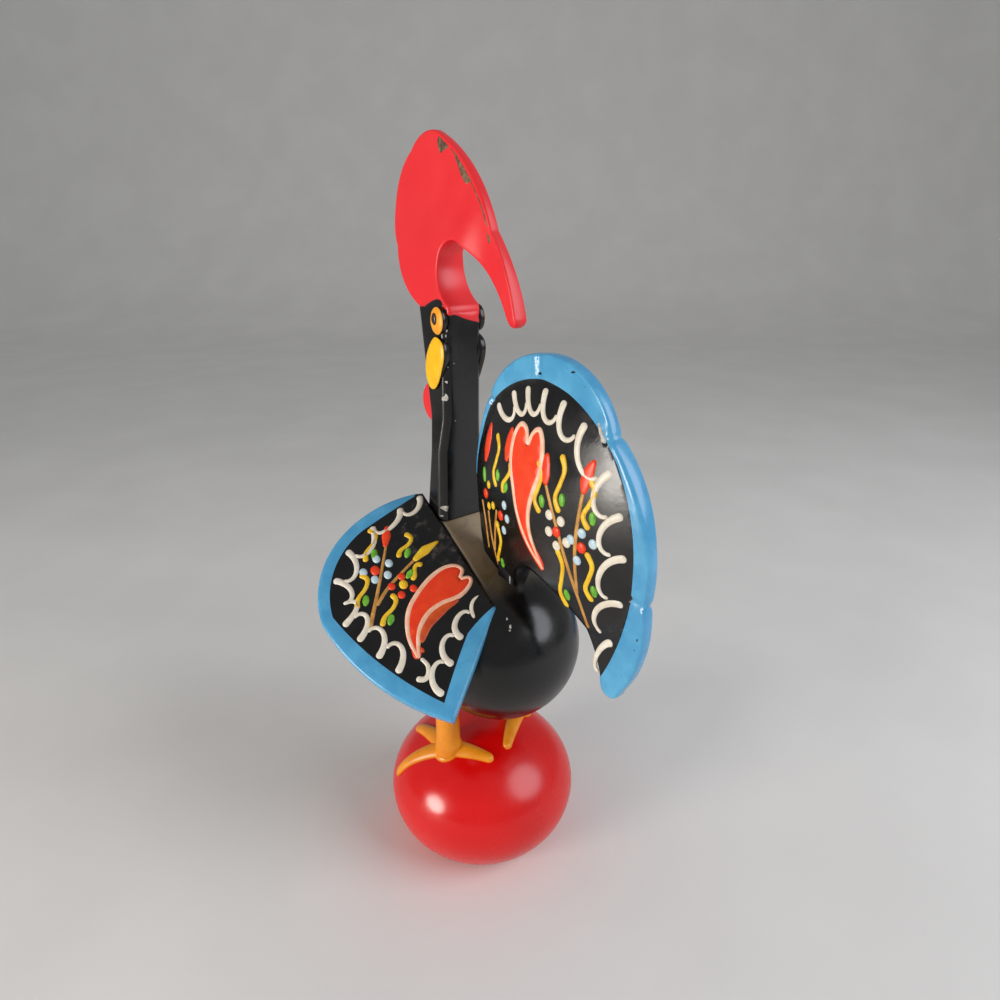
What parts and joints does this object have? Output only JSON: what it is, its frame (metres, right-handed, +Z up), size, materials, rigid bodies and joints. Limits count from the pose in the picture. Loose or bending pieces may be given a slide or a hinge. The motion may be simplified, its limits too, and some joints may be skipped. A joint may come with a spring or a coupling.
{
  "type": "painted folk rooster ornament",
  "caption": "Standing painted rooster on a red bun-shaped base, with a lobed comb, flat wings and a scalloped fan tail.",
  "frame": {"origin": "centre of the base's flat underside", "axes": "+Z up, the rooster faces -Y and its left side is +X"},
  "size_m": [0.0768, 0.0786, 0.1731],
  "materials": {
    "base_red_enamel": "gloss",
    "comb_red_enamel": "semi-gloss",
    "black_enamel": "gloss",
    "yellow_enamel": "semi-gloss",
    "orange_enamel": "semi-gloss",
    "earlobe_yellow_enamel": "semi-gloss",
    "blue_enamel": "gloss",
    "cream_enamel": "semi-gloss",
    "flame_enamel": "semi-gloss",
    "peach_enamel": "semi-gloss",
    "lemon_enamel": "semi-gloss",
    "green_enamel": "semi-gloss",
    "pale_blue_enamel": "semi-gloss",
    "ochre_enamel": "semi-gloss",
    "primer_chip": "matt",
    "bare_chip": "satin"
  },
  "bodies": {
    "root": {"base": "base_red_enamel", "left_leg": "yellow_enamel", "right_leg": "yellow_enamel", "left_foot": "yellow_enamel", "right_foot": "yellow_enamel", "body": "black_enamel", "neck": "black_enamel", "comb": "comb_red_enamel", "beak": "yellow_enamel", "wattle": "comb_red_enamel", "left_eye": "orange_enamel", "right_eye": "orange_enamel", "left_earlobe": "earlobe_yellow_enamel", "right_earlobe": "earlobe_yellow_enamel", "left_wing": "black_enamel", "right_wing": "black_enamel", "tail": "black_enamel"}
  },
  "joints": []
}
